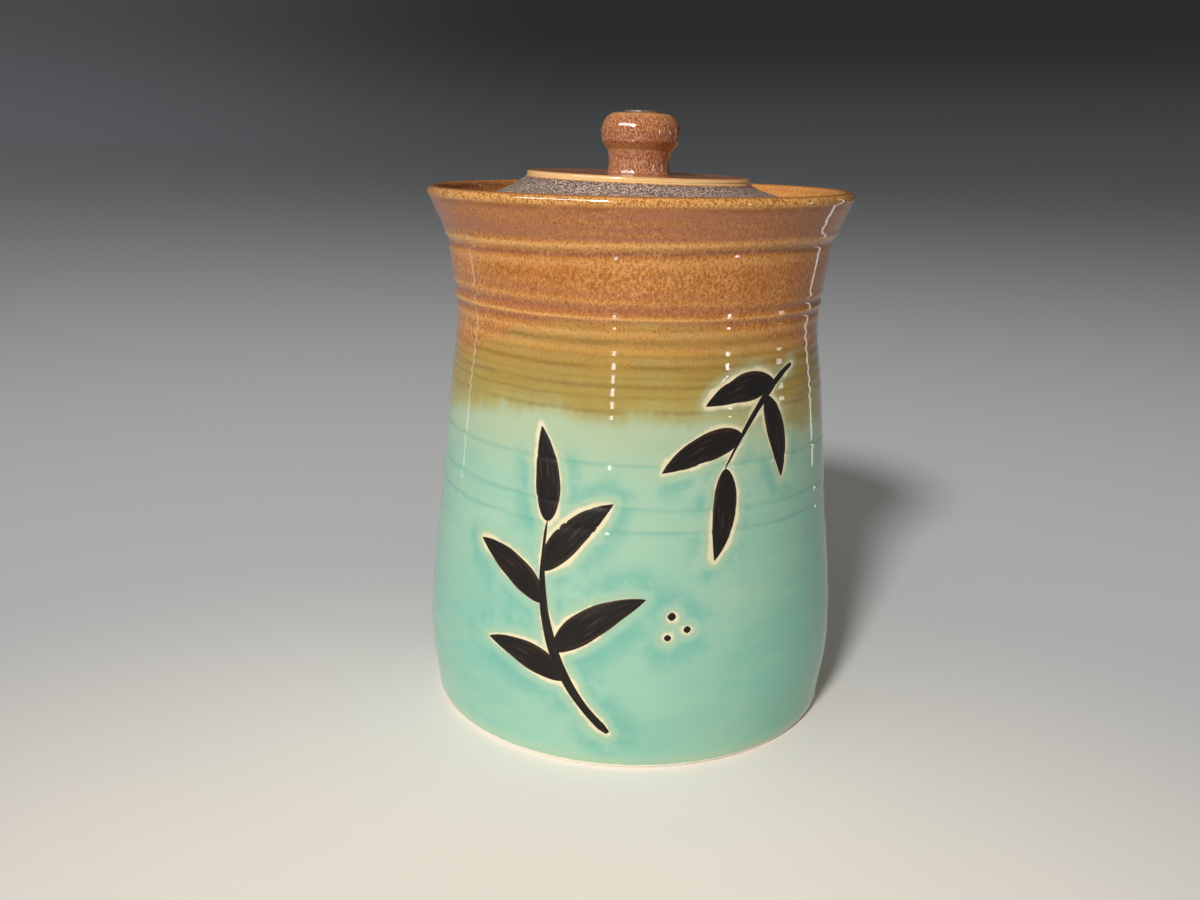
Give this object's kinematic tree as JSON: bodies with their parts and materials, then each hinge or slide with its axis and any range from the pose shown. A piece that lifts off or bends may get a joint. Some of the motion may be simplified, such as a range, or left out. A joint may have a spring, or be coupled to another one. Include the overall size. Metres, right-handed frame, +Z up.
{
  "type": "cookie jar",
  "caption": "Tall round stoneware cookie jar with a flared rim, a waisted wall and a drop-in lid that lifts off by its turned knob.",
  "frame": {"origin": "centre of the foot, on the surface that the jar stands on", "axes": "+Z up along the jar's turning axis, -Y towards the side that the picture shows"},
  "size_m": [0.1822, 0.1822, 0.2535],
  "materials": {
    "jar_glaze": "glossy stoneware glaze, rust brown with mauve veils above, tan at the middle and celadon turquoise below, bare cream clay under the foot",
    "lid_glaze": "matt speckled violet grey glaze on the skirt, mauve brown gloss on the disc, golden where it breaks over the edge",
    "knob_glaze": "glossy speckled mauve brown glaze with a golden line at the neck"
  },
  "bodies": {
    "jar": {"jar_body": "jar_glaze"},
    "lid": {"lid": "lid_glaze", "lid_knob": "knob_glaze"}
  },
  "joints": [
    {"name": "lid_lift", "type": "slide", "parent": "jar", "child": "lid", "axis": [0, 0, 1], "range_m": [0, 0.15]}
  ]
}
